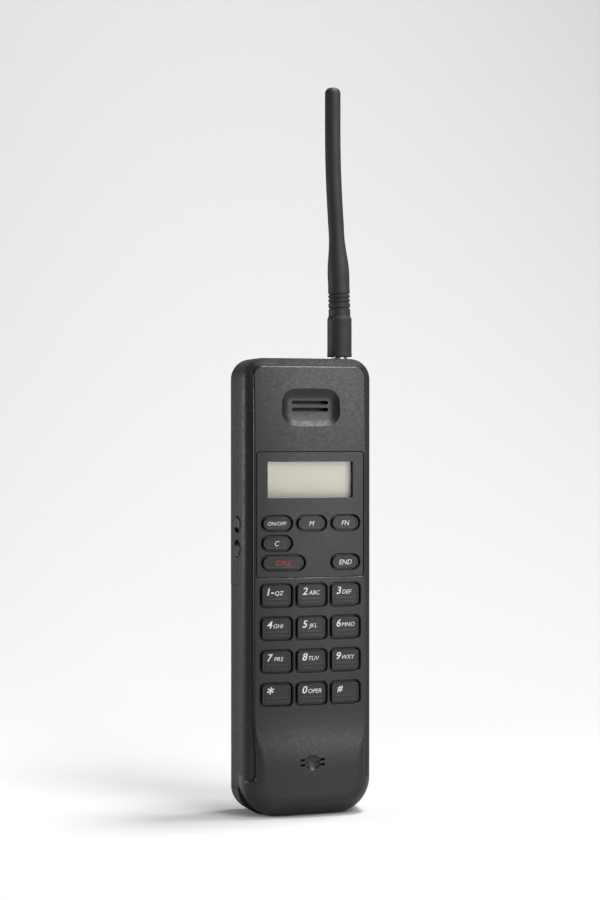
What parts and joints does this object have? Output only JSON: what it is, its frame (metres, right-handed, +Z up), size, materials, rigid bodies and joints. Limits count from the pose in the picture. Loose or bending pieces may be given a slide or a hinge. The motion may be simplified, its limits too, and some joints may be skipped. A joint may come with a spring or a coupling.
{
  "type": "hand-held cellular phone",
  "caption": "Upright one-piece mobile handset with a keypad, display window, earpiece and microphone slots, side buttons, removable battery pack and flexible screw-in antenna.",
  "frame": {"origin": "middle of the flat base, where the phone stands", "axes": "+Z up along the body and the antenna, -Y out of the keypad face, +X to the right seen from the front"},
  "size_m": [0.0557, 0.0279, 0.3015],
  "materials": {
    "shell": "fine texture, satin",
    "panel": "satin",
    "window": "clear, polished",
    "black_plastic": "matte",
    "display": "reflective display",
    "mat": "matte",
    "circuit_board": "green solder mask",
    "speaker": "pressed",
    "foam": "matte foam",
    "tinned_steel": "tinned",
    "chips": "moulded",
    "nickel_brass": "nickel plated",
    "gold_contact": "gold plated",
    "screw_steel": "black zinc",
    "cell_wrap": "sleeved cans",
    "latch": "satin",
    "spring_steel": "drawn wire",
    "antenna_rubber": "smooth, satin",
    "key": "fine texture, satin",
    "side_button": "satin"
  },
  "bodies": {
    "handset": {"front_housing": "shell", "rear_housing": "shell", "control_panel": "panel", "lcd_window": "window", "lcd_frame": "black_plastic", "lcd_glass": "display", "keypad_mat": "mat", "keypad_board": "circuit_board", "earpiece_speaker": "speaker", "earpiece_gasket": "foam", "microphone": "speaker", "microphone_boot": "mat", "ringer": "black_plastic", "main_board": "circuit_board", "rf_shield": "tinned_steel", "logic_shield": "tinned_steel", "board_chips": "chips", "board_connector": "black_plastic", "side_switch_board": "circuit_board", "side_switches": "black_plastic", "antenna_socket": "nickel_brass", "antenna_contact": "gold_contact", "housing_screws": "screw_steel", "housing_inserts": "nickel_brass", "board_screws": "screw_steel", "battery_terminals": "gold_contact", "charge_contacts": "gold_contact", "latch_spring": "spring_steel"},
    "key_1_body": {"key_1": "key"},
    "key_2_body": {"key_2": "key"},
    "key_3_body": {"key_3": "key"},
    "key_4_body": {"key_4": "key"},
    "key_5_body": {"key_5": "key"},
    "key_6_body": {"key_6": "key"},
    "key_7_body": {"key_7": "key"},
    "key_8_body": {"key_8": "key"},
    "key_9_body": {"key_9": "key"},
    "key_star_body": {"key_star": "key"},
    "key_0_body": {"key_0": "key"},
    "key_hash_body": {"key_hash": "key"},
    "key_power_body": {"key_power": "key"},
    "key_memory_body": {"key_memory": "key"},
    "key_function_body": {"key_function": "key"},
    "key_clear_body": {"key_clear": "key"},
    "key_call_body": {"key_call": "key"},
    "key_end_body": {"key_end": "key"},
    "volume_up_button_body": {"volume_up_button": "side_button"},
    "volume_down_button_body": {"volume_down_button": "side_button"},
    "battery_pack": {"battery_case": "shell", "battery_lid": "black_plastic", "battery_cells": "cell_wrap", "battery_straps": "tinned_steel", "battery_contacts": "gold_contact"},
    "battery_latch_body": {"battery_latch": "latch"},
    "antenna_screw": {"antenna_stud": "nickel_brass"},
    "antenna": {"antenna_sleeve": "antenna_rubber", "antenna_whip": "antenna_rubber", "antenna_conductor": "spring_steel", "antenna_cap": "antenna_rubber"}
  },
  "joints": [
    {"name": "key_1_press", "type": "slide", "parent": "handset", "child": "key_1_body", "axis": [0, 1, 0], "range_m": [0, 0.0006], "stiffness_N_per_m": 800},
    {"name": "key_2_press", "type": "slide", "parent": "handset", "child": "key_2_body", "axis": [0, 1, 0], "range_m": [0, 0.0006], "stiffness_N_per_m": 800},
    {"name": "key_3_press", "type": "slide", "parent": "handset", "child": "key_3_body", "axis": [0, 1, 0], "range_m": [0, 0.0006], "stiffness_N_per_m": 800},
    {"name": "key_4_press", "type": "slide", "parent": "handset", "child": "key_4_body", "axis": [0, 1, 0], "range_m": [0, 0.0006], "stiffness_N_per_m": 800},
    {"name": "key_5_press", "type": "slide", "parent": "handset", "child": "key_5_body", "axis": [0, 1, 0], "range_m": [0, 0.0006], "stiffness_N_per_m": 800},
    {"name": "key_6_press", "type": "slide", "parent": "handset", "child": "key_6_body", "axis": [0, 1, 0], "range_m": [0, 0.0006], "stiffness_N_per_m": 800},
    {"name": "key_7_press", "type": "slide", "parent": "handset", "child": "key_7_body", "axis": [0, 1, 0], "range_m": [0, 0.0006], "stiffness_N_per_m": 800},
    {"name": "key_8_press", "type": "slide", "parent": "handset", "child": "key_8_body", "axis": [0, 1, 0], "range_m": [0, 0.0006], "stiffness_N_per_m": 800},
    {"name": "key_9_press", "type": "slide", "parent": "handset", "child": "key_9_body", "axis": [0, 1, 0], "range_m": [0, 0.0006], "stiffness_N_per_m": 800},
    {"name": "key_star_press", "type": "slide", "parent": "handset", "child": "key_star_body", "axis": [0, 1, 0], "range_m": [0, 0.0006], "stiffness_N_per_m": 800},
    {"name": "key_0_press", "type": "slide", "parent": "handset", "child": "key_0_body", "axis": [0, 1, 0], "range_m": [0, 0.0006], "stiffness_N_per_m": 800},
    {"name": "key_hash_press", "type": "slide", "parent": "handset", "child": "key_hash_body", "axis": [0, 1, 0], "range_m": [0, 0.0006], "stiffness_N_per_m": 800},
    {"name": "key_power_press", "type": "slide", "parent": "handset", "child": "key_power_body", "axis": [0, 1, 0], "range_m": [0, 0.0006], "stiffness_N_per_m": 800},
    {"name": "key_memory_press", "type": "slide", "parent": "handset", "child": "key_memory_body", "axis": [0, 1, 0], "range_m": [0, 0.0006], "stiffness_N_per_m": 800},
    {"name": "key_function_press", "type": "slide", "parent": "handset", "child": "key_function_body", "axis": [0, 1, 0], "range_m": [0, 0.0006], "stiffness_N_per_m": 800},
    {"name": "key_clear_press", "type": "slide", "parent": "handset", "child": "key_clear_body", "axis": [0, 1, 0], "range_m": [0, 0.0006], "stiffness_N_per_m": 800},
    {"name": "key_call_press", "type": "slide", "parent": "handset", "child": "key_call_body", "axis": [0, 1, 0], "range_m": [0, 0.0006], "stiffness_N_per_m": 800},
    {"name": "key_end_press", "type": "slide", "parent": "handset", "child": "key_end_body", "axis": [0, 1, 0], "range_m": [0, 0.0006], "stiffness_N_per_m": 800},
    {"name": "volume_up_button_press", "type": "slide", "parent": "handset", "child": "volume_up_button_body", "axis": [1, 0, 0], "range_m": [0, 0.0005], "stiffness_N_per_m": 800},
    {"name": "volume_down_button_press", "type": "slide", "parent": "handset", "child": "volume_down_button_body", "axis": [1, 0, 0], "range_m": [0, 0.0005], "stiffness_N_per_m": 800},
    {"name": "battery_slide", "type": "slide", "parent": "handset", "child": "battery_pack", "axis": [0, 1, 0], "range_m": [0, 0.03]},
    {"name": "battery_latch_slide", "type": "slide", "parent": "handset", "child": "battery_latch_body", "axis": [0, 0, 1], "range_m": [0, 0.003], "stiffness_N_per_m": 300, "deforming": ["latch_spring"]},
    {"name": "antenna_lift", "type": "slide", "parent": "handset", "child": "antenna_screw", "axis": [0, 0, 1], "range_m": [0, 0.0055]},
    {"name": "antenna_turn", "type": "hinge", "parent": "antenna_screw", "child": "antenna", "pos_m": [0.01725, 0.00175, 0.1888], "axis": [0, 0, 1], "range_deg": [0, 1981]}
  ],
  "couplings": [
    {"joint": "antenna_turn", "follows": "antenna_lift", "rad_per_m": 6283.2}
  ]
}
